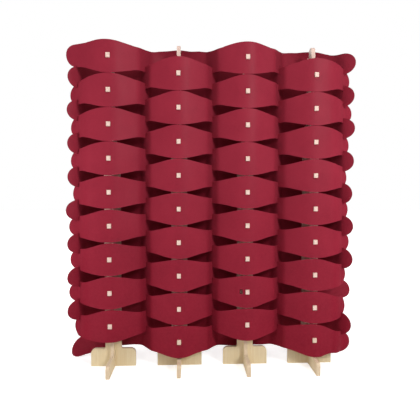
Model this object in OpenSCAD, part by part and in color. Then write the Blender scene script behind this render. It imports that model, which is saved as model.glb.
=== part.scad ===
// Free-standing acoustic room divider: long scalloped felt strips are woven around four plywood
// posts. Every post is two boards crossed with a halving joint, and every strip hangs on one tab
// of each post. Neighbouring strips run out of step and hook into each other with slits halfway
// between the posts.
// Origin: on the floor, below the middle of the divider. X runs along the width, the front of the
// divider faces -Y, and Z is up.

/* [Layout] */
// Number of posts
post_count = 4; // [2:1:5]
// Distance from post to post
post_pitch = 330; // [300:5:360]
// Number of strip pairs, each an even and an odd strip
pair_count = 9; // [7:1:9]
// Height from one strip pair to the next
row_pitch = 160.5; // [159:0.5:175]
// Height of the middle of the lowest strip above the floor
lowest_row_z = 146.5; // [144:0.5:200]

/* [Felt strips] */
// Thickness of the felt
felt_t = 5; // [3:0.5:6]
// Width of a strip where it passes a post
strip_w_post = 157; // [140:1:158]
// Width of a strip where it crosses its neighbours
strip_w_cross = 106; // [96:1:112]
// Distance from the middle of the divider to the strip at its crest
wave_depth = 97; // [85:1:105]
// Bending radius of a strip at its crest
crest_r = 120; // [90:5:140]
// Angle at which a strip leaves its crest between two posts
side_angle = 26; // [20:1:30]
// Angle at which it leaves its crest beside the ends of the divider
outer_side_angle = 13; // [10:1:26]
// Angle at which a strip passes through its neighbours
cross_angle = 58; // [52:1:62]
// Bending radius beside a crossing
shoulder_r = 30; // [20:1:36]
// Straight length from the outer crossing to the bend of a hooked end
tail_start = 15; // [12:1:18]
// Angle of a hooked end
tail_angle = 20; // [14:1:26]
// How far a strip's round end reaches past the outer crossing
end_reach = 45; // [38:1:50]
// How far the hooked ends of the lowest strip hang down
end_sag = 34; // [0:1:40]
// How late the drop of an end sets in, where 1 is a straight slope
sag_power = 1.3; // [1.2:0.1:2]
// Free space between felt and what it touches
felt_gap = 0.3; // [0.2:0.05:0.5]

/* [Unhooked ends] */
// How far the highest strip's left end has risen off its neighbour
perched_rise = 38; // [37:1:42]
// Angle by which that end still bends back
perched_angle = 34; // [32:1:36]
// Strip whose right end hangs loose, counted from the top
slack_strip = 15; // [3:2:17]
// Angle at which that end springs away from the posts
slack_angle = 9; // [6:1:14]
// How far that end hangs down
slack_sag = 48; // [40:1:50]
// Angle at which the lowest strip's left end springs away from the posts
drooped_angle = 7; // [4:1:12]
// How far that end hangs down
drooped_sag = 117; // [60:1:118]

/* [Spare slot] */
// Strip with the spare slot, counted from the top
spare_strip = 15; // [1:2:17]
// Post beside the spare slot, counted from the left
spare_post = 3; // [1:2:3]
// Distance from the post's middle to the spare slot's middle
spare_x = 29; // [24:1:40]
// Height of the spare slot's middle above the strip's middle
spare_z = 3; // [-6:1:6]
// Width of the spare slot
spare_w = 14; // [8:1:20]
// Height of the spare slot
spare_h = 20; // [12:1:24]

/* [Posts] */
// Thickness of the plywood
ply_t = 18; // [15:0.5:20]
// Depth of the fin's upright from its middle to either edge
spine_half = 40; // [32:1:48]
// Height of an arm that carries a strip
arm_h = 44; // [34:1:60]
// Radius in the corner between an arm and the upright
arm_fillet = 16; // [8:1:20]
// Height of the tab at the end of an arm
tab_h = 22; // [16:1:28]
// How far a tab sticks out of the felt
tab_out = 8; // [6:1:16]
// Corner radius of a tab's end
tab_r = 2; // [1:0.5:4]
// Height of the fin's top above the middle of the highest strip
neck_rise = 71; // [40:1:74]
// Depth of the fin's neck
neck_w = 50; // [36:1:60]
// Corner radius of the fin's neck
neck_r = 18; // [6:1:20]
// Reach of the fin's foot from the post's middle
fin_reach = 174; // [140:1:220]
// Height of the fin's foot
fin_foot_h = 60; // [40:1:62]
// Radius of the fin foot's upper corner
fin_foot_r = 18; // [6:1:30]
// Radius between the fin's foot and its upright
fin_foot_fillet = 25; // [10:1:30]

/* [Cross boards] */
// Width of the cross board's upright
board_w = 79; // [60:1:100]
// Height of the cross board
board_h = 1080; // [800:10:1090]
// Width of the cross board's foot
board_foot_w = 222; // [170:1:240]
// Height of the cross board's foot
board_foot_h = 89; // [60:1:95]
// Radius of the cross board foot's upper corners
board_foot_r = 25; // [8:1:40]
// Radius between the cross board's foot and its upright
board_fillet = 8; // [4:1:20]
// Height at which the slots of the halving joint meet
lap_z = 540; // [400:10:700]
// Free space on each side of the halving joint
lap_gap = 0.2; // [0.1:0.05:0.3]

/* [Hidden] */
$fn = 48;
strip_count = 2 * pair_count;

felt_red = [0.57, 0.13, 0.21];
birch = [0.87, 0.77, 0.60];

// Where the strips are. Strip 1 is the highest, and odd strips pass post 1 at the front.
half_pitch = post_pitch / 2;
first_post_x = -half_pitch * (post_count - 1);
outer_cross_x = -first_post_x + half_pitch;
top_row_z = lowest_row_z + (strip_count - 1) * row_pitch / 2;

arc_steps = 4;
edge_step = post_pitch / 16;
end_steps = 10;

// Arms stop just short of the felt, whose inner face curves away from the tab.
felt_inner = wave_depth - crest_r + sqrt(pow(crest_r - felt_t / 2, 2) - pow(ply_t / 2, 2));
shoulder = felt_inner - 2 * felt_gap;
tab_reach = wave_depth + felt_t / 2 + tab_out;
fin_h = top_row_z + neck_rise;
lap_w = ply_t + 2 * lap_gap;
overlap = 1;

function strip_name(n) = str("felt_strip_", n < 10 ? "0" : "", n);
function row_z(n) = top_row_z - (n - 1) * row_pitch / 2;
function post_x(i) = first_post_x + (i - 1) * post_pitch;

// -1 where strip n passes post i at the front and +1 where it passes behind.
function side(n, i) = (n + i) % 2 == 0 ? -1 : 1;

// Ends are hooked into their neighbours but for three of them. Side s is -1 at the left end of a
// strip and +1 at its right end.
function is_perched(n, s) = n == 1 && s < 0;
function is_slack(n, s) = n == slack_strip && s > 0;
function is_drooped(n, s) = n == strip_count && s < 0;
function is_hooked(n, s) = !is_perched(n, s) && !is_slack(n, s) && !is_drooped(n, s);
function end_turn(n, s) =
    is_perched(n, s) ? perched_angle
    : is_slack(n, s) ? -slack_angle
    : -drooped_angle;
function end_drop(n, s) =
    is_perched(n, s) ? -perched_rise
    : is_slack(n, s) ? slack_sag
    : is_drooped(n, s) ? drooped_sag
    : end_sag * pow((n - 1) / (strip_count - 1), 2);
function is_outer(i, s) = i + s < 1 || i + s > post_count;

// From its crest a strip runs back as a chain of arcs and straight stretches, each given by its
// length and by the angle at its far end. The two stretches beside the shoulder are as long as it
// takes to reach the crossing.
function arc_len(r, from, to) = r * abs(to - from) * PI / 180;
function to_cross(a) = [
    half_pitch - crest_r * sin(a) - shoulder_r * (sin(cross_angle) - sin(a)),
    wave_depth - crest_r * (1 - cos(a)) - shoulder_r * (cos(a) - cos(cross_angle))
];
function side_len(a) = cross([cos(cross_angle), sin(cross_angle)], -to_cross(a)) / sin(cross_angle - a);
function cross_run(a) = cross([cos(a), sin(a)], to_cross(a)) / sin(cross_angle - a);
function to_shoulder(a) = [
    [arc_len(crest_r, 0, a), a],
    [side_len(a), a],
    [arc_len(shoulder_r, a, cross_angle), cross_angle]
];
function cross_len(a) = chain_len(to_shoulder(a)) + cross_run(a);
function chain_len(chain) = [for (link = chain) 1] * [for (link = chain) link[0]];

tail_bend = arc_len(shoulder_r, cross_angle, tail_angle);
tail_bend_x = tail_start * cos(cross_angle) + shoulder_r * (sin(cross_angle) - sin(tail_angle));
tail_len = (end_reach - tail_bend_x) / cos(tail_angle);
tip_len = cross_len(outer_side_angle) + tail_start + tail_bend + tail_len;
hooked_chain = concat(to_shoulder(outer_side_angle), [
    [cross_run(outer_side_angle) + tail_start, cross_angle],
    [tail_bend, tail_angle],
    [tail_len + felt_t, tail_angle]
]);
inner_chain = concat(to_shoulder(side_angle), [[cross_run(side_angle), cross_angle]]);
function loose_chain(a) = [
    [arc_len(crest_r, 0, a), a],
    [tip_len + felt_t - arc_len(crest_r, 0, a), a]
];
function chain(n, i, s) =
    !is_outer(i, s) ? inner_chain
    : is_hooked(n, s) ? hooked_chain
    : loose_chain(end_turn(n, s));

// Stations along a chain: length along the felt, distances from the post and from the middle of
// the divider, and angle.
function chain_steps(chain) = [
    for (k = [0:len(chain) - 1])
        let (from = k == 0 ? 0 : chain[k - 1][1])
        let (to = chain[k][1])
        let (count = from == to ? 1 : arc_steps)
        for (j = [1:count]) [chain[k][0] / count, from + (to - from) * j / count]
];
function next_station(p, step) =
    let (t = p[3])
    let (to = step[1])
    let (move = t == to
        ? step[0] * [cos(t), -sin(t)]
        : step[0] * 180 / PI / (to - t) * [sin(to) - sin(t), cos(to) - cos(t)])
    [p[0] + step[0], p[1] + move[0], p[2] + move[1], to];
function stations(steps) = [
    for (
        k = 0, p = [0, 0, wave_depth, 0];
        k <= len(steps);
        p = k < len(steps) ? next_station(p, steps[k]) : p, k = k + 1
    ) p
];
function run_back(n, i, s) = stations(chain_steps(chain(n, i, s)));
function station_at(run, u) =
    concat([u], [for (c = [1:3]) lookup(u, [for (p = run) [p[0], p[c]]])]);

// Heading of strip n from +X where its angle on side s of post i is t, and a station's place in
// plan, off beside the middle of the felt.
function heading(n, i, s, t) = -s * side(n, i) * t;
function place(n, i, s, p, off) =
    let (h = heading(n, i, s, p[3]))
    [post_x(i) + s * p[1] - off * sin(h), side(n, i) * p[2] + off * cos(h)];
function run_edge(n, i, s, off) =
    let (run = run_back(n, i, s))
    [for (k = [1:len(run) - (is_outer(i, s) ? 1 : 2)]) place(n, i, s, run[k], off)];
function plan_edge(n, off) = [
    for (i = [1:post_count]) each concat(
        reversed(run_edge(n, i, -1, off)),
        [place(n, i, 1, [0, 0, wave_depth, 0], off)],
        run_edge(n, i, 1, off)
    )
];

// Length along the felt at which a hooked end is at x from its post, and an end's station for the
// felt at length u of a hooked one. Ends that hang down reach less far.
function felt_len(x) = lookup(x, [for (p = stations(chain_steps(hooked_chain))) [p[1], p[0]]]);
function end_station(n, i, s, u) =
    let (level = is_hooked(n, s) ? 1 : cos(atan2(end_drop(n, s), tip_len)))
    station_at(run_back(n, i, s), u * level);

// Half the strip's width at x, and how far its end hangs down there.
end_r = strip_w_cross / 2;
function half_width(x) =
    end_r + (strip_w_post - strip_w_cross) * (1 + cos(360 * (x - first_post_x) / post_pitch)) / 4;
function sag(n, x) =
    let (past_post = max(0, abs(x) + first_post_x))
    end_drop(n, sign(x)) * pow(past_post / (half_pitch + end_reach), sag_power);

// Places from the left tip to the right tip at which the outline has a point.
tip_x = outer_cross_x + end_reach;
round_x = tip_x - end_r;
edge_x = [
    for (k = [0:end_steps]) -round_x - end_r * cos(90 * k / end_steps),
    each [for (x = [-outer_cross_x:edge_step:outer_cross_x]) if (abs(x) < round_x - end_r / end_steps) x],
    for (k = [end_steps:-1:0]) round_x + end_r * cos(90 * k / end_steps)
];
function end_half(x) = sqrt(max(0, pow(end_r, 2) - pow(abs(x) - round_x, 2)));
function outline_half(x) = abs(x) > round_x ? end_half(x) : half_width(x);

// Where the felt that a hooked strip has at x lies on strip n.
function laid_x(n, x) =
    let (s = sign(x))
    let (i = s < 0 ? 1 : post_count)
    let (past_post = abs(x) + first_post_x)
    past_post <= 0 ? x : post_x(i) + s * end_station(n, i, s, felt_len(past_post))[1];
function outline_edge(n, up) =
    [for (x = edge_x) [laid_x(n, x), row_z(n) - sag(n, x) + up * outline_half(x)]];

function reversed(list) = [for (k = [len(list) - 1:-1:0]) list[k]];

module strip_plan(n) {
    polygon(concat(plan_edge(n, -felt_t / 2), reversed(plan_edge(n, felt_t / 2))));
}

module strip_outline(n) {
    upper = outline_edge(n, 1);
    lower = outline_edge(n, -1);
    polygon(concat(upper, [for (k = [len(lower) - 2:-1:1]) lower[k]]));
}

// Slits halfway between the posts. The upper strip's lower edge and the lower strip's upper edge
// are each cut to the middle of their overlap, along the way the other strip runs.
module slit_cuts(n) {
    for (c = [0:post_count], up = [-1, 1]) {
        m = n - up;
        i = max(c, 1);
        s = c == 0 ? -1 : 1;
        x = post_x(i) + s * half_pitch;
        outer = is_outer(i, s);
        partner = outer && !(is_hooked(n, s) && is_hooked(m, s)) ? n : m;
        meet_z = (row_z(n) + row_z(m) - sag(n, x) - sag(partner, x)) / 2;
        crossing = outer
            ? end_station(n, i, s, cross_len(outer_side_angle))
            : station_at(run_back(n, i, s), cross_len(side_angle));
        if (m >= 1 && m <= strip_count)
            translate(concat(
                place(n, i, s, crossing, 0),
                meet_z + up * (strip_w_cross - felt_gap) / 2
            ))
                rotate([0, 0, heading(n, i, s, crossing[3] - 2 * cross_angle)])
                    cube([6 * felt_t, felt_t + 2 * felt_gap, strip_w_cross], center = true);
    }
}

module tab_slots(n) {
    for (i = [1:post_count])
        translate([post_x(i), side(n, i) * wave_depth, row_z(n)])
            cube([ply_t + 2 * felt_gap, 4 * felt_t, tab_h + 2 * felt_gap], center = true);
}

module spare_slot(n) {
    i = spare_post;
    if (n == spare_strip)
        translate([post_x(i) - spare_x, side(n, i) * wave_depth, row_z(n) + spare_z])
            cube([spare_w, 8 * felt_t, spare_h], center = true);
}

module felt_strip(n) {
    color(felt_red)
        difference() {
            intersection() {
                linear_extrude(fin_h + strip_w_post)
                    strip_plan(n);
                rotate([90, 0, 0])
                    linear_extrude(4 * fin_reach, center = true)
                        strip_outline(n);
            }
            slit_cuts(n);
            tab_slots(n);
            spare_slot(n);
        }
}

// A rounding that fills the inner corner at the origin, in the quarter where x and y are positive.
module inner_fillet(r) {
    difference() {
        translate([-overlap, -overlap])
            square(r + overlap);
        translate([r, r])
            circle(r);
    }
}

// A board outline from x = 0 to w and y = 0 to h with its upper far corner rounded.
module rounded_top(w, h, r) {
    square([w - r, h]);
    square([w, h - r]);
    translate([w - r, h - r])
        circle(r);
}

// One arm with its tab, pointing to +X, its middle on the X axis.
module arm_profile() {
    square_from = spine_half - overlap;
    translate([square_from, -arm_h / 2])
        square([shoulder - square_from, arm_h]);
    for (m = [0, 1])
        mirror([0, m]) {
            translate([shoulder - overlap, 0])
                rounded_top(tab_reach - shoulder + overlap, tab_h / 2, tab_r);
            translate([spine_half, arm_h / 2])
                inner_fillet(arm_fillet);
        }
}

// The fin seen from the left: its X is the divider's Y. Odd strips hang on the arms at -X.
module fin_profile() {
    difference() {
        union() {
            translate([-spine_half, 0])
                square([2 * spine_half, top_row_z + arm_h / 2]);
            for (m = [0, 1])
                mirror([m, 0]) {
                    rounded_top(fin_reach, fin_foot_h, fin_foot_r);
                    translate([spine_half, fin_foot_h])
                        inner_fillet(fin_foot_fillet);
                }
            for (n = [1:strip_count])
                translate([0, row_z(n)])
                    mirror([n % 2, 0])
                        arm_profile();
            translate([spine_half - neck_w / 2, 0])
                for (m = [0, 1])
                    mirror([m, 0])
                        rounded_top(neck_w / 2, fin_h, neck_r);
        }
        translate([-lap_w / 2, -overlap])
            square([lap_w, lap_z + lap_gap + overlap]);
    }
}

module cross_board_profile() {
    difference() {
        union() {
            translate([-board_w / 2, 0])
                square([board_w, board_h]);
            for (m = [0, 1])
                mirror([m, 0]) {
                    rounded_top(board_foot_w / 2, board_foot_h, board_foot_r);
                    translate([board_w / 2, board_foot_h])
                        inner_fillet(board_fillet);
                }
        }
        translate([-lap_w / 2, lap_z - lap_gap])
            square([lap_w, board_h]);
    }
}

// All posts are alike, and every other one is turned half around.
module at_post(i) {
    translate([post_x(i), 0, 0])
        rotate([0, 0, i % 2 == 1 ? 0 : 180])
            children();
}

module fin(i) {
    color(birch)
        at_post(i)
            rotate([90, 0, 90])
                linear_extrude(ply_t, center = true)
                    fin_profile();
}

module cross_board(i) {
    color(birch)
        at_post(i)
            rotate([90, 0, 0])
                linear_extrude(ply_t, center = true)
                    cross_board_profile();
}

for (i = [1:post_count]) {
    fin(i);
    cross_board(i);
}
for (n = [1:strip_count])
    felt_strip(n);
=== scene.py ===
"""An acoustic room divider: scalloped felt strips woven around slotted plywood posts.

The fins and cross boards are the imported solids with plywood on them. Each felt strip is a mesh
that replaces its solid and follows the same plan, eased where soft felt eases. Lengths are in
metres. The front faces -Y, posts are counted from the left and strips from the top, and in a
pair such as (strip, end) the end is -1 for the left and 1 for the right.
"""
import math
from typing import NamedTuple

import bmesh
import bpy
import numpy as np
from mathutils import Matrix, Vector, noise


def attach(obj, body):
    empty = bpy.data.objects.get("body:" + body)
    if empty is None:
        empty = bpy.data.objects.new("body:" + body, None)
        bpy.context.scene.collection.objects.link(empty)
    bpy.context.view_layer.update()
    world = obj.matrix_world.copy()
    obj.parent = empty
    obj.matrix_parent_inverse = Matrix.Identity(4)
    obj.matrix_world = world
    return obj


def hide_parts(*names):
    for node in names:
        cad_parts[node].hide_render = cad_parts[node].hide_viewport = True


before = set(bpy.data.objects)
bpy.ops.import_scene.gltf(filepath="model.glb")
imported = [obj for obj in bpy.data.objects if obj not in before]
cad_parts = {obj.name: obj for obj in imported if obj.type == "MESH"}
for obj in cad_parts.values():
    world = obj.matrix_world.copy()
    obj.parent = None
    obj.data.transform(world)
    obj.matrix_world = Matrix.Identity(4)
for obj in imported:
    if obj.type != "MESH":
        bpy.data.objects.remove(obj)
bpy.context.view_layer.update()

# The layout: the measures that the solids are built from too.
POSTS = 4
PITCH = 0.330  # from post to post
STRIPS = 18
ROW = 0.1605 / 2  # from strip to strip
LOWEST_ROW = 0.1465  # height of the lowest strip's middle
PLY_T = 0.018
FELT_T = 0.005
GAP = 0.0003  # clearance round the tabs and in the slits
HALF_POST = 0.157 / 2  # half a strip's width at the posts
HALF_CROSS = 0.106 / 2  # half its width at the crossings
TAB_HALF_W = 0.009 + GAP
TAB_HALF_H = 0.011 + GAP

# A strip's plan from a post: an arc over the arm, a straight side, a tighter bend and a straight
# through the crossing with its neighbours. Angles are to the line of posts.
DEPTH = 0.097  # from the line of posts to the felt's middle at a crest
CREST_R = 0.120
SIDE = math.radians(26)
OUTER_SIDE = math.radians(13)
SHOULDER_R = 0.030
CROSS = math.radians(58)

# Past the outermost crossing: a short straight, a bend back and the tail.
TAIL_START = 0.015
TAIL = math.radians(20)
END_REACH = 0.045  # from the crossing to a hooked end's tip
PAST_TIP = 0.03  # how much further than its tip a strip's plan is worked out

# How far the plan's corners are rounded off: between posts, at hooked ends and at loose ends.
SOFT_INNER = 0.011
SOFT_HOOKED = 0.050
SOFT_LOOSE = 0.014

# The hooked ends hang down more from row to row, and the lowest right one most of all.
END_SAG = 0.034
MORE_SAG = {(18, 1): 0.018}
SAG_POWER = 1.3

# Loose ends: turn back from the crest (negative springs away from the posts) and drop.
LOOSE = {
    (1, -1): (math.radians(34), -0.038),
    (15, 1): (math.radians(-9), 0.048),
    (18, -1): (math.radians(-7), 0.117),
}
PERCHED = (1, -1)  # the end that has ridden up on its neighbour
PERCH_POWER = 2.0

# Crossings where two strips are not hooked, as the upper strip and the end.
UNHOOKED = {(1, -1), (14, 1), (15, 1), (17, -1)}

# How much further than the rest each end reaches, in millimetres, from strip 1 down.
REACH = {
    -1: (0, -5, 0, 0, -2, -1, 0, 0, -9, 9, 13, 5, 8, 6, 16, 7, -13, 0),
    1: (3, -3, 0, 11, 4, -3, 0, -13, -6, -5, -1, 2, -3, -15, 0, -14, -5, 11),
}

# A small open slot: its strip, post and side of the post, and where it starts and ends there.
SPARE_SLOT = (15, 3, -1)
SPARE_FROM, SPARE_TO = 0.022, 0.036

# The mesh: its columns are about this far apart, and round a tip they are this many degrees apart.
COLUMN_STEP = 0.0075
TIP_STEP = 10
TIP_CLEAR = 0.002  # no column round the tip is nearer than this to a slit
STEP = 0.001  # of the plan

HALF = PITCH / 2
FIRST_POST = -HALF * (POSTS - 1)
TOP_ROW = LOWEST_ROW + (STRIPS - 1) * ROW
TIP_X = -FIRST_POST + HALF + END_REACH
ROUND_X = TIP_X - HALF_CROSS  # where the round ends begin


def row_z(n):
    return TOP_ROW - (n - 1) * ROW


def post_x(i):
    return FIRST_POST + (i - 1) * PITCH


def passes(n, i):
    """-1 where strip n passes post i at the front, and 1 where it passes behind."""
    return -1 if (n + i) % 2 == 0 else 1


def is_outer(i, s):
    """Whether side s (-1 left, 1 right) of post i is an end of the divider."""
    return not 1 <= i + s <= POSTS


# The felt's line in plan.


class Plan(NamedTuple):
    """A strip's run from a post, point by point."""

    u: np.ndarray  # length along the felt
    x: np.ndarray  # distance from the post, along the line of posts
    y: np.ndarray  # distance from that line
    turn: np.ndarray  # angle to it


def links(angle):
    """The plan from a crest to the crossing when its side is at this angle: the arc, the side,
    the bend and the last straight, each as its length and the angle at its far end."""
    dx = HALF - CREST_R * math.sin(angle) - SHOULDER_R * (math.sin(CROSS) - math.sin(angle))
    dy = DEPTH - CREST_R * (1 - math.cos(angle)) - SHOULDER_R * (math.cos(angle) - math.cos(CROSS))
    run = (dx * math.sin(CROSS) - dy * math.cos(CROSS)) / math.sin(CROSS - angle)
    last = (dy * math.cos(angle) - dx * math.sin(angle)) / math.sin(CROSS - angle)
    bend = SHOULDER_R * (CROSS - angle)
    return [[CREST_R * angle, angle], [run, angle], [bend, CROSS], [last, CROSS]]


def length_of(chain):
    return sum(length for length, _ in chain)


CROSS_LEN = length_of(links(SIDE))
OUTER_CROSS_LEN = length_of(links(OUTER_SIDE))
BEND = SHOULDER_R * (CROSS - TAIL)
BEND_X = TAIL_START * math.cos(CROSS) + SHOULDER_R * (math.sin(CROSS) - math.sin(TAIL))
TAIL_LEN = (END_REACH - BEND_X) / math.cos(TAIL)
TIP_LEN = OUTER_CROSS_LEN + TAIL_START + BEND + TAIL_LEN


def run_plan(chain, soften, crossing=None, mirrored=False):
    """Walks a chain from the post with its corners rounded off.

    With a crossing, which is its length along the chain, the plan is stretched to pass through
    it. A mirrored chain ends at the crossing and goes on from there as its own mirror image.
    """
    u = np.arange(0, length_of(chain) + STEP / 2, STEP)
    ends = np.cumsum([0] + [length for length, _ in chain])
    turn = np.interp(u, ends, [0] + [angle for _, angle in chain])
    k = int(soften / STEP)
    beyond = turn[-2 : -k - 2 : -1] if mirrored else np.full(k, turn[-1])
    turn = np.concatenate([-turn[k:0:-1], turn, beyond])
    turn = np.convolve(turn, np.ones(2 * k + 1) / (2 * k + 1), "valid")
    mid = (turn[1:] + turn[:-1]) / 2
    x = np.concatenate([[0], np.cumsum(np.cos(mid) * STEP)])
    y = DEPTH - np.concatenate([[0], np.cumsum(np.sin(mid) * STEP)])
    if crossing:
        at_x, at_y = np.interp(crossing, u, x), np.interp(crossing, u, y)
        x *= HALF / at_x
        y = DEPTH - (DEPTH - y) * DEPTH / (DEPTH - at_y)
    return Plan(u, x, y, -np.arctan2(np.gradient(y), np.gradient(x)))


def hooked_end():
    chain = links(OUTER_SIDE)
    chain[-1][0] += TAIL_START
    chain += [[BEND, TAIL], [TAIL_LEN + PAST_TIP, TAIL]]
    return run_plan(chain, SOFT_HOOKED, OUTER_CROSS_LEN)


def loose_end(angle):
    arc = CREST_R * abs(angle)
    return run_plan([[arc, angle], [TIP_LEN + PAST_TIP - arc, angle]], SOFT_LOOSE)


INNER = run_plan(links(SIDE), SOFT_INNER, CROSS_LEN, mirrored=True)
HOOKED = hooked_end()
INNER_ANGLE = INNER.turn[-1]
OUTER_ANGLE = float(np.interp(OUTER_CROSS_LEN, HOOKED.u, HOOKED.turn))


def plan_of(n, i, s):
    if not is_outer(i, s):
        return INNER
    return loose_end(LOOSE[n, s][0]) if (n, s) in LOOSE else HOOKED


def end_level(n, s):
    """How much of its length an end still reaches outwards as it drops."""
    return math.cos(math.atan2(LOOSE[n, s][1], TIP_LEN)) if (n, s) in LOOSE else 1.0


def drop(n, s):
    """How far an end's tip hangs down, or stands up if it is negative."""
    if (n, s) in LOOSE:
        return LOOSE[n, s][1]
    return END_SAG * ((n - 1) / (STRIPS - 1)) ** 2 + MORE_SAG.get((n, s), 0)


def half_width(x):
    """Half a strip's width where a hooked strip would be at x."""
    a = abs(x)
    if a > ROUND_X:
        return math.sqrt(max(0.0, HALF_CROSS**2 - (a - ROUND_X) ** 2))
    wave = math.cos(2 * math.pi * (x - FIRST_POST) / PITCH)
    return HALF_CROSS + (HALF_POST - HALF_CROSS) * (1 + wave) / 2


# The columns of a strip's mesh.


class Column(NamedTuple):
    """A column of points across a strip, and where its middle stands."""

    post: int
    s: int  # side of the post
    outer: bool  # whether that side is an end of the divider
    u: float  # length along the felt from the post, negative to its left
    x: float
    y: float
    heading: float
    hooked_x: float  # x of the same felt in a hooked strip
    past: float  # from 0 at the outermost crossing to 1 at a hooked tip
    sag: float
    at_slit: bool  # whether it is the edge of a slit
    shut: float  # how far it moves along the felt to shut that slit


def crossing_of(outer):
    """The crossing's length along the felt from the post, and the felt's angle there."""
    return (OUTER_CROSS_LEN, OUTER_ANGLE) if outer else (CROSS_LEN, INNER_ANGLE)


def tip_stops():
    """Lengths along a hooked strip at which its round tip has turned another step."""
    turns = [math.radians(turn) for turn in range(TIP_STEP, 91, TIP_STEP)]
    xs = [ROUND_X + HALF_CROSS * math.sin(turn) + FIRST_POST for turn in turns]
    return [float(np.interp(x, HOOKED.x, HOOKED.u)) for x in xs]


TIP_STOPS = tip_stops()


def spread(stops):
    """The stops in order, with others spread evenly between them."""
    marks = sorted(stops)
    out = []
    for a, b in zip(marks, marks[1:]):
        parts = max(1, round((b - a) / COLUMN_STEP))
        out += [a + (b - a) * k / parts for k in range(parts)]
    return out + [marks[-1]]


def side_columns(n, i, s):
    """The columns of strip n on one side of post i, outwards from the post."""
    outer = is_outer(i, s)
    cross_at, angle = crossing_of(outer)
    slit = (FELT_T / 2 + GAP) / abs(math.sin(2 * angle))
    # The slit's edges, each with the way from it to the slit's middle if it can be shut.
    edges = {cross_at - slit: 1, cross_at + slit: -1} if outer else {cross_at - slit: 0}
    stops = {0.0, TAB_HALF_W, *edges}
    if (n, i, s) == SPARE_SLOT:
        stops |= {SPARE_FROM, SPARE_TO}
    if outer:
        stops |= {at for at in TIP_STOPS if at > cross_at + slit + TIP_CLEAR}

    plan = plan_of(n, i, s)
    hooked = HOOKED if outer else plan
    level = end_level(n, s) if outer else 1.0
    power = PERCH_POWER if (n, s) == PERCHED else SAG_POWER
    out = []
    for at in spread(stops):
        rel = float(np.interp(at, hooked.u, hooked.x))
        own = at * level
        out.append(
            Column(
                post=i,
                s=s,
                outer=outer,
                u=s * at,
                x=post_x(i) + s * float(np.interp(own, plan.u, plan.x)),
                y=passes(n, i) * float(np.interp(own, plan.u, plan.y)),
                heading=-s * passes(n, i) * float(np.interp(own, plan.u, plan.turn)),
                hooked_x=post_x(i) + s * rel,
                past=max(0.0, rel - HALF) / END_REACH if outer else 0.0,
                sag=drop(n, s) * (rel / (HALF + END_REACH)) ** power if outer else 0.0,
                at_slit=at in edges,
                shut=s * edges.get(at, 0) * (slit - GAP),
            )
        )
    return out


def columns(n):
    """The columns of strip n from its left tip to its right tip."""
    out = []
    for i in range(1, POSTS + 1):
        out += side_columns(n, i, -1)[:0:-1] + side_columns(n, i, 1)
    return out


# The rows across a strip, from its lower edge up: which way each lies from the middle, and its
# share of the way from the end of a tab's slot to the edge. The half slits end at SLIT_ROW.
SLIT_DEPTH = (2 * HALF_CROSS - ROW) / 2 + GAP / 2
SLIT_ROW = (HALF_CROSS - SLIT_DEPTH - TAB_HALF_H) / (HALF_CROSS - TAB_HALF_H)
SHARES = [0.0, 0.34, SLIT_ROW, 0.85, 1.0]
ROWS = [(-1, q) for q in SHARES[::-1]] + [(0, 0)] + [(1, q) for q in SHARES]


def offset(half, row):
    """Height of a row above the strip's middle, where the strip is this wide."""
    up, q = row
    slot = min(TAB_HALF_H, half * TAB_HALF_H / HALF_CROSS)
    return up * (slot + (half - slot) * q)


# How soft felt settles.
HELD_TO, FREE_FROM = 0.02, 0.09  # the tabs hold the felt up to the first distance from a post
DRIFT, DRIFT_SIZE, DRIFT_START = 0.0085, 0.21, 3.7
DRIFT_DEEP = 0.4  # how much less it changes from front to back
DRIFT_UP = 0.35  # how much of it is felt in height
DRIFT_SEED = 1795800989  # without a seed, Blender's vector noise differs from run to run
BOW = 0.006
WIDER_STRIPS = 8  # the upper strips are a little wider at the posts
WIDER, WIDE_FROM = 0.0013, 0.06
# The free edges of the highest and lowest strips bend less far back behind the posts.
FREE_EDGES = {(1, 1), (STRIPS, -1)}
EDGE_FROM, EDGE_BACK = 0.024, 0.27
# Where edges rise or fall, as (strip, -1 for its lower edge or 1 for its upper one), and for
# each place the x where it starts and ends, the rise, and the power of its growth with width.
EDGE_RISES = {
    (1, 1): (
        (-0.72, -0.56, 0.004, 1), (-0.60, -0.30, -0.007, 1), (-0.38, -0.20, 0.007, 1),
        (-0.12, 0.03, 0.013, 1), (-0.02, 0.34, -0.007, 1), (0.27, 0.45, 0.012, 1),
        (0.48, 0.66, 0.006, 1),
    ),
    (2, 1): ((-0.70, -0.50, 0.011, 1),),
    (17, -1): ((0.52, 0.72, -0.014, 1),),
    (18, -1): (
        (-0.42, -0.24, -0.007, 1), (-0.10, 0.17, -0.014, 1), (0.20, 0.38, -0.014, 2),
        (0.42, 0.58, -0.005, 2), (0.52, 0.64, 0.017, 2), (0.62, 0.74, -0.016, 2),
    ),
}
# The lowest strip's lower edge turns back at its right end.
TURNED_EDGE = (STRIPS, -1)
TURN_FROM, TURN_TO, TURN_BACK = 0.57, 0.78, 0.030


def smooth(a, b, x):
    t = min(1.0, max(0.0, (x - a) / (b - a)))
    return t * t * (3 - 2 * t)


def hump(a, x, b):
    """0 outside a to b, and 1 halfway."""
    return math.sin(math.pi * min(1.0, max(0.0, (x - a) / (b - a)))) ** 2


noise.seed_set(DRIFT_SEED)


def drift(p):
    """A slow, even wander of a point, the same for all strips that pass it."""
    x, y, z = p
    q = Vector((x / DRIFT_SIZE + DRIFT_START, y / DRIFT_SIZE * DRIFT_DEEP, z / DRIFT_SIZE))
    return noise.noise_vector(q) * DRIFT


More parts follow.
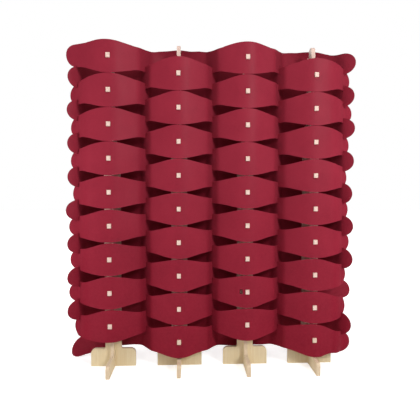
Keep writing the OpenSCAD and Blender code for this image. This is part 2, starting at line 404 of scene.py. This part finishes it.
def relax(n, c, off, p):
    """Moves a point of the woven strip, this far above its middle, to where the felt settles."""
    x, y, z = p
    edge = (n, 1 if off > 0 else -1)
    wide = abs(off) / HALF_POST
    rel = abs(c.hooked_x - post_x(c.post))
    wander = drift(p)
    y += wander.y * smooth(HELD_TO, FREE_FROM, rel)
    z += wander.z * smooth(HELD_TO, FREE_FROM, rel) * DRIFT_UP
    # Each side of each strip bows a little more or less than its neighbours. The numbers only
    # take it to another place in the noise.
    bow = noise.noise((c.post * 3.1 + c.s, n * 1.7, 0.4)) * BOW
    y += passes(n, c.post) * bow * hump(0, rel, HALF)
    if edge in FREE_EDGES and y > 0 and c.post > 1:
        y *= 1 - EDGE_BACK * max(0.0, (abs(off) - EDGE_FROM) / (HALF_POST - EDGE_FROM)) ** 2
    if edge == TURNED_EDGE:
        y += TURN_BACK * hump(TURN_FROM, x, TURN_TO) * wide**2
    for start, end, rise, power in EDGE_RISES.get(edge, ()):
        z += rise * hump(start, x, end) * wide**power
    if n <= WIDER_STRIPS and abs(off) > WIDE_FROM:
        z += math.copysign(WIDER * wide, off)
    x += c.s * REACH[c.s][n - 1] / 1000 * smooth(0.0, 1.0, c.past)
    return Vector((x, y, z))


def unhooked(n, s, up):
    """Whether strip n is loose from its neighbour above (up 1) or below (up -1)."""
    return (n if up < 0 else n - 1, s) in UNHOOKED


def felt_point(n, c, row, face):
    """A point of the strip's front (face -1) or back (face 1)."""
    off = offset(half_width(c.hooked_x), row)
    across = face * FELT_T / 2
    along = 0.0
    if c.shut and row[1] >= SLIT_ROW and unhooked(n, c.s, row[0]):
        along = c.shut
    elif c.at_slit:
        # A slit is cut in the direction in which the neighbour passes.
        _, angle = crossing_of(c.outer)
        along = -across / math.tan(2 * angle) * (1 if c.heading > 0 else -1)
    cos, sin = math.cos(c.heading), math.sin(c.heading)
    p = (
        c.x - sin * across + along * cos,
        c.y + cos * across + along * sin,
        row_z(n) - c.sag + off,
    )
    return relax(n, c, off, p)


def is_open(n, a, b, lo, hi):
    """Whether the felt is cut away between columns a and b and rows lo and hi."""
    if 0 in (lo[0], hi[0]):
        mid = abs(a.u + b.u) / 2
        spare = (n, a.post, a.s) == SPARE_SLOT and SPARE_FROM < mid < SPARE_TO
        return a.post == b.post and (mid < TAB_HALF_W or spare)
    upper = n > 1 and lo[0] > 0 and lo[1] >= SLIT_ROW
    lower = n < STRIPS and hi[0] < 0 and hi[1] >= SLIT_ROW
    return a.at_slit and b.at_slit and (upper or lower)


WELD = 2e-5  # points nearer than this, at the round tips, become one

# A cell's four sides: two corners, and the step to the cell on the other side.
CELL_SIDES = (
    ((0, 0), (1, 0), (0, -1)),
    ((1, 0), (1, 1), (1, 0)),
    ((1, 1), (0, 1), (0, 1)),
    ((0, 1), (0, 0), (-1, 0)),
)


def felt_mesh(n, cols):
    """Two faces of quads with walls between them round every edge, slot and slit."""
    bm = bmesh.new()
    front, back = (
        [[bm.verts.new(felt_point(n, c, row, face)) for row in ROWS] for c in cols]
        for face in (-1, 1)
    )
    cells = {
        (k, r)
        for k in range(len(cols) - 1)
        for r in range(len(ROWS) - 1)
        if not is_open(n, cols[k], cols[k + 1], ROWS[r], ROWS[r + 1])
    }
    for grid, order in ((front, 1), (back, -1)):
        for k, r in cells:
            quad = [grid[k][r], grid[k + 1][r], grid[k + 1][r + 1], grid[k][r + 1]]
            bm.faces.new(quad[::order])
    for k, r in cells:
        for (ak, ar), (bk, br), (step_k, step_r) in CELL_SIDES:
            if (k + step_k, r + step_r) in cells:
                continue
            bm.faces.new([
                front[k + bk][r + br], front[k + ak][r + ar],
                back[k + ak][r + ar], back[k + bk][r + br],
            ])
    bmesh.ops.remove_doubles(bm, verts=bm.verts, dist=WELD)
    bmesh.ops.recalc_face_normals(bm, faces=bm.faces)
    mesh = bpy.data.meshes.new(f"felt_{n:02d}")
    bm.to_mesh(mesh)
    bm.free()
    return mesh


def flat_size(cols):
    """A strip's length and area before it is woven."""
    area, length = 0.0, 0.0
    for a, b in zip(cols, cols[1:]):
        du = abs(b.u - a.u) if a.post == b.post else 2 * (CROSS_LEN - abs(a.u))
        length += du
        area += du * (half_width(a.hooked_x) + half_width(b.hooked_x))
    return length, area


# Materials.


def new_material(name):
    mat = bpy.data.materials.new(name)
    mat.use_nodes = True
    tree = mat.node_tree
    return mat, tree, tree.nodes["Principled BSDF"]


def object_coords(tree):
    return tree.nodes.new("ShaderNodeTexCoord").outputs["Object"]


def xyz_of(tree, vector):
    node = tree.nodes.new("ShaderNodeSeparateXYZ")
    tree.links.new(vector, node.inputs[0])
    return node.outputs


def noise_at(tree, where, scale, detail=2.0, rough=0.5, distort=0.0):
    node = tree.nodes.new("ShaderNodeTexNoise")
    node.inputs["Scale"].default_value = scale
    node.inputs["Detail"].default_value = detail
    node.inputs["Roughness"].default_value = rough
    node.inputs["Distortion"].default_value = distort
    tree.links.new(where, node.inputs["Vector"])
    return node.outputs["Fac"]


def stretched(tree, where, scale):
    node = tree.nodes.new("ShaderNodeMapping")
    node.inputs["Scale"].default_value = scale
    tree.links.new(where, node.inputs["Vector"])
    return node.outputs["Vector"]


def math_of(tree, op, *values):
    """A math node on numbers or sockets."""
    node = tree.nodes.new("ShaderNodeMath")
    node.operation = op
    for socket, value in zip(node.inputs, values):
        if isinstance(value, (int, float)):
            socket.default_value = value
        else:
            tree.links.new(value, socket)
    return node.outputs[0]


def ramp(tree, fac, *stops):
    """A colour ramp with a stop for each (place, colour)."""
    node = tree.nodes.new("ShaderNodeValToRGB")
    tree.links.new(fac, node.inputs["Fac"])
    while len(node.color_ramp.elements) < len(stops):
        node.color_ramp.elements.new(0.5)
    for element, (at, colour) in zip(node.color_ramp.elements, stops):
        element.position = at
        element.color = (*colour, 1)
    return node.outputs["Color"]


def fade(tree, fac, *stops):
    """A ramp of greys with a stop for each (place, value)."""
    return ramp(tree, fac, *((at, (value, value, value)) for at, value in stops))


def mix(tree, fac, a, b):
    """Colour a, and as much of colour b over it as fac says, each a value or a socket."""
    node = tree.nodes.new("ShaderNodeMix")
    node.data_type = "RGBA"
    for name, value in (("Factor", fac), ("A", a), ("B", b)):
        if isinstance(value, tuple):
            node.inputs[name].default_value = (*value, 1)
        else:
            tree.links.new(value, node.inputs[name])
    return node.outputs["Result"]


def stain(tree, fac, strength, base, colour):
    """Puts a colour over the base by fac, up to this strength."""
    return mix(tree, math_of(tree, "MULTIPLY", fac, strength), base, colour)


def bump(tree, heights, target):
    """Chains bumps, each of (height, strength, distance)."""
    last = None
    for height, strength, distance in heights:
        node = tree.nodes.new("ShaderNodeBump")
        node.inputs["Strength"].default_value = strength
        node.inputs["Distance"].default_value = distance
        tree.links.new(height, node.inputs["Height"])
        if last:
            tree.links.new(last, node.inputs["Normal"])
        last = node.outputs["Normal"]
    tree.links.new(last, target)


# The felt's reds in linear light. Each height has two that take turns in patches. The low pair
# holds painted shade, and the high pair is paler with a painted sheen of the light from above.
RED_SHADED_LOW = (0.212, 0.0065, 0.0200), (0.243, 0.0080, 0.0235)
RED_LIT_HIGH = (0.258, 0.0175, 0.0360), (0.297, 0.0215, 0.0420)
LOW_Z, HIGH_Z = 0.10, 1.00
RED_MOTTLE = (0.335, 0.0250, 0.0460)
PALE_FIBRE = (0.45, 0.075, 0.100)
DARK_FIBRE = (0.175, 0.0095, 0.0200)
SHEEN_TINT = (0.95, 0.55, 0.60, 1)
MATT = (0.95, 0.95, 0.95)


def felt_material():
    mat, tree, shader = new_material("felt")
    where = object_coords(tree)
    patches = noise_at(tree, where, 9.0, 3.0, 0.6)
    mottle = noise_at(tree, where, 95.0, 4.0, 0.65)
    fibres = noise_at(tree, stretched(tree, where, (1.0, 1.0, 2.6)), 520.0, 5.0, 0.75, 1.6)

    # Painted light and shade: towards the floor the felt is painted darker and deeper in colour as
    # painted shade, and towards the top it is painted paler as a painted sheen of the light from
    # above.
    height = fade(tree, xyz_of(tree, where)[2], (LOW_Z, 0), (HIGH_Z, 1))
    low, high = (ramp(tree, patches, (0.30, a), (0.70, b)) for a, b in (RED_SHADED_LOW, RED_LIT_HIGH))
    base = mix(tree, height, low, high)
    base = mix(tree, fade(tree, mottle, (0.35, 0.0), (0.70, 0.30)), base, RED_MOTTLE)
    base = mix(tree, fade(tree, fibres, (0.56, 0.0), (0.74, 0.34)), base, PALE_FIBRE)
    base = mix(tree, fade(tree, fibres, (0.22, 0.42), (0.42, 0.0)), base, DARK_FIBRE)
    tree.links.new(base, shader.inputs["Base Color"])

    # The fibres stand up, so the gloss fades where the felt turns away.
    rough = fade(tree, mottle, (0.2, 0.40), (0.8, 0.49))
    facing = tree.nodes.new("ShaderNodeLayerWeight").outputs["Facing"]
    rough = mix(tree, fade(tree, facing, (0.15, 0), (0.40, 1)), rough, MATT)
    tree.links.new(rough, shader.inputs["Roughness"])
    shader.inputs["Specular IOR Level"].default_value = 0.09
    shader.inputs["Sheen Weight"].default_value = 0.005
    shader.inputs["Sheen Roughness"].default_value = 0.55
    shader.inputs["Sheen Tint"].default_value = SHEEN_TINT
    bump(tree, [(mottle, 0.35, 0.0008), (fibres, 0.55, 0.0005)], shader.inputs["Normal"])
    return mat


# The plywood's colours: its face, then its plies seen at the edge. Up among the felt they are
# painted paler and pinker as painted light, and down at the feet they are painted darker as
# painted shade.
PLIES = 13
PLY_WOBBLE = 0.0005
FACE = (
    (0.30, (0.800, 0.630, 0.365)),
    (0.50, (0.850, 0.702, 0.444)),
    (0.72, (0.895, 0.774, 0.531)),
)
GRAIN_LINE = (0.60, 0.44, 0.26)
CLOUD = (0.90, 0.79, 0.58)
SPECK = (0.50, 0.35, 0.20)
FACE_PAINTED_LIGHT = (0.98, 0.87, 0.80)
# Between these heights the plywood goes from painted shade at the feet to painted light up among
# the felt.
FEET_Z, PAINTED_LIGHT_Z = 0.10, 0.20
# Each ply colour is a pair: painted shade at the feet, then painted light up among the felt.
LIGHT_PLY = (0.90, 0.75, 0.53), (0.99, 0.74, 0.67)
LIGHT_GRAIN = (0.80, 0.64, 0.47)
DARK_PLY = (0.78, 0.60, 0.40), (0.89, 0.63, 0.54)
DARK_GRAIN = (0.55, 0.38, 0.25)
GLUE = (0.33, 0.20, 0.11)


def plywood_material(axis):
    """Birch plywood for boards that are thin along this axis (0 for fins, 1 for cross boards)."""
    mat, tree, shader = new_material("plywood_" + "xy"[axis])
    where = object_coords(tree)
    place = xyz_of(tree, where)
    # Painted light: 0 at the feet, which are painted in shade, and 1 up among the felt, which is
    # painted lit.
    painted_light_up_high = fade(tree, place[2], (FEET_Z, 0), (PAINTED_LIGHT_Z, 1))

    # The face.
    grain = noise_at(tree, stretched(tree, where, (14.0, 14.0, 0.9)), 9.0, 6.0, 0.62, 0.7)
    fine = noise_at(tree, stretched(tree, where, (60.0, 60.0, 2.2)), 14.0, 3.0, 0.6)
    cloud = noise_at(tree, where, 5.0)
    speck = noise_at(tree, stretched(tree, where, (1, 1, 0.35)), 260.0)
    face = ramp(tree, grain, *FACE)
    face = stain(tree, fine, 0.22, face, GRAIN_LINE)
    face = stain(tree, cloud, 0.22, face, CLOUD)
    face = mix(tree, fade(tree, speck, (0.70, 0), (0.78, 0.5)), face, SPECK)
    # Painted light over the face up among the felt.
    face = stain(tree, painted_light_up_high, 0.65, face, FACE_PAINTED_LIGHT)

    # The plies across the board's thickness. The fins stand half a pitch off the object's
    # middle, and the wobble keeps the plies from being ruled lines.
    across = place[axis]
    if axis == 0:
        across = math_of(tree, "WRAP", math_of(tree, "SUBTRACT", across, HALF), HALF, -HALF)
    wobble = math_of(tree, "SUBTRACT", noise_at(tree, where, 14.0), 0.5)
    wobble = math_of(tree, "MULTIPLY", wobble, PLY_WOBBLE)
    depth = math_of(tree, "ADD", math_of(tree, "ADD", across, PLY_T / 2), wobble)
    layer = math_of(tree, "FRACT", math_of(tree, "MULTIPLY", depth, PLIES / PLY_T / 2))
    layers = math_of(tree, "PINGPONG", math_of(tree, "MULTIPLY", layer, 2.0), 1.0)
    bands = fade(tree, layers, (0.40, 0), (0.60, 1))
    from_glue = math_of(tree, "ABSOLUTE", math_of(tree, "SUBTRACT", layers, 0.5))
    end_grain = noise_at(tree, where, 900.0, 3.0, 0.7)
    # Both ply colours go from painted shade at the feet to painted light up among the felt.
    light_ply = stain(tree, end_grain, 0.30, mix(tree, painted_light_up_high, *LIGHT_PLY), LIGHT_GRAIN)
    dark_ply = stain(tree, end_grain, 0.35, mix(tree, painted_light_up_high, *DARK_PLY), DARK_GRAIN)
    edge = mix(tree, bands, light_ply, dark_ply)
    edge = mix(tree, fade(tree, from_glue, (0.03, 0.7), (0.10, 0)), edge, GLUE)

    normal = xyz_of(tree, tree.nodes.new("ShaderNodeNewGeometry").outputs["Normal"])
    is_edge = math_of(tree, "LESS_THAN", math_of(tree, "ABSOLUTE", normal[axis]), 0.7)
    tree.links.new(mix(tree, is_edge, face, edge), shader.inputs["Base Color"])
    tree.links.new(fade(tree, grain, (0.2, 0.50), (0.8, 0.66)), shader.inputs["Roughness"])
    shader.inputs["Specular IOR Level"].default_value = 0.30
    rings = math_of(tree, "MULTIPLY", bands, is_edge)
    heights = [(grain, 0.16, 0.0006), (fine, 0.20, 0.0003), (rings, 0.25, 0.0003)]
    bump(tree, heights, shader.inputs["Normal"])
    return mat


# The felt strips.
RIM = 0.0013
RIM_ANGLE = math.radians(50)
SHARP_ANGLE = math.radians(60)

felt = felt_material()
for n in range(1, STRIPS + 1):
    cols = columns(n)
    mesh = felt_mesh(n, cols)
    length, area = flat_size(cols)
    piece = bpy.data.objects.new(f"felt_{n:02d}", mesh)
    bpy.context.collection.objects.link(piece)
    mesh.materials.append(felt)
    rim = piece.modifiers.new("soft_rim", "BEVEL")
    rim.width = RIM
    rim.segments = 2
    rim.limit_method = "ANGLE"
    rim.angle_limit = RIM_ANGLE
    mesh.polygons.foreach_set("use_smooth", [True] * len(mesh.polygons))
    mesh.set_sharp_from_angle(angle=SHARP_ANGLE)
    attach(piece, "root")
    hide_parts(f"felt_strip_{n:02d}")

# The fins and cross boards.
ply = [plywood_material(0), plywood_material(1)]
for i in range(1, POSTS + 1):
    for axis, name in enumerate((f"fin_{i}", f"cross_board_{i}")):
        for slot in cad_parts[name].material_slots:
            slot.material = ply[axis]

# The floor, the background and the light. The floor and the background shine white for the
# eye and in gloss, and the floor less so near the object, where its shadow has to show.
FLOOR_SIZE = 40
FLOOR_DROP = 0.0002
FLOOR_GREY = (0.93, 0.93, 0.93, 1)
WHITE = (1, 1, 1, 1)
FLOOR_GLOW = (("From Min", 0.9), ("From Max", 2.4), ("To Min", 0.58), ("To Max", 1.0))
WORLD_LIGHT = 0.20


def seen_rays(tree):
    """1 for rays that show the background: to the eye, in gloss or through glass."""
    path = tree.nodes.new("ShaderNodeLightPath")
    seen = path.outputs["Is Camera Ray"]
    for ray in ("Is Glossy Ray", "Is Transmission Ray"):
        seen = math_of(tree, "MAXIMUM", seen, path.outputs[ray])
    return seen


def floor_material():
    mat, tree, shader = new_material("floor")
    shader.inputs["Base Color"].default_value = FLOOR_GREY
    shader.inputs["Roughness"].default_value = 0.9
    shader.inputs["Specular IOR Level"].default_value = 0.1
    shader.inputs["Emission Color"].default_value = WHITE
    away = tree.nodes.new("ShaderNodeVectorMath")
    away.operation = "LENGTH"
    tree.links.new(object_coords(tree), away.inputs[0])
    glow = tree.nodes.new("ShaderNodeMapRange")
    glow.interpolation_type = "SMOOTHSTEP"
    for key, value in FLOOR_GLOW:
        glow.inputs[key].default_value = value
    tree.links.new(away.outputs["Value"], glow.inputs["Value"])
    strength = math_of(tree, "MULTIPLY", seen_rays(tree), glow.outputs["Result"])
    tree.links.new(strength, shader.inputs["Emission Strength"])
    return mat


bpy.ops.mesh.primitive_plane_add(size=FLOOR_SIZE, location=(0, 0, -FLOOR_DROP))
floor = bpy.context.object
floor.name = "floor"
floor.data.materials.append(floor_material())

world = bpy.data.worlds.new("world")
bpy.context.scene.world = world
world.use_nodes = True
tree = world.node_tree
background = tree.nodes["Background"]
background.inputs["Color"].default_value = WHITE
strength = math_of(tree, "MULTIPLY_ADD", seen_rays(tree), 1 - WORLD_LIGHT, WORLD_LIGHT)
tree.links.new(strength, background.inputs["Strength"])

# Lamps: where each stands, where it points, its diameter, its watts, and whether gloss shows it.
MIDDLE = (0, 0, 0.9)
LAMPS = {
    "key": ((1.8, -3.2, 2.4), MIDDLE, 0.9, 65, True),
    "fill": ((-1.5, -3.7, 2.4), MIDDLE, 1.0, 20, False),
    "top": ((0.0, -1.8, 4.0), MIDDLE, 2.0, 26, True),
    "side": ((-1.78, -0.43, 0.87), (-0.6, 0, 0.87), 0.5, 9.5, False),
    "other_side": ((1.85, -0.5, 0.9), (0.6, 0, 0.87), 0.5, 7.0, False),
    "back": ((-1.2, 4.2, 3.0), MIDDLE, 3.0, 80, True),
}
for name, (place, target, size, watts, in_gloss) in LAMPS.items():
    light = bpy.data.lights.new(name, "AREA")
    light.shape = "DISK"
    light.size = size
    light.energy = watts
    lamp = bpy.data.objects.new(name, light)
    lamp.location = place
    lamp.rotation_euler = (Vector(target) - Vector(place)).to_track_quat("-Z", "Y").to_euler()
    lamp.visible_camera = False
    lamp.visible_glossy = in_gloss
    bpy.context.collection.objects.link(lamp)

# The camera stands where the photo was taken from. Angles are in radians.
PHOTO_PX, FOCAL_PX = 420, 440.7
SENSOR = 36
EYE = (-0.1085, -2.2048, 0.860)
TILT_DOWN, TURN_RIGHT = 0.036, 0.044

camera = bpy.data.cameras.new("camera")
camera.sensor_width = SENSOR
camera.lens = FOCAL_PX / PHOTO_PX * SENSOR
camera.clip_end = 100
eye = bpy.data.objects.new("camera", camera)
eye.location = EYE
eye.rotation_euler = (math.pi / 2 - TILT_DOWN, 0, -TURN_RIGHT)
bpy.context.collection.objects.link(eye)
bpy.context.scene.camera = eye
bpy.context.scene.view_settings.view_transform = "Standard"
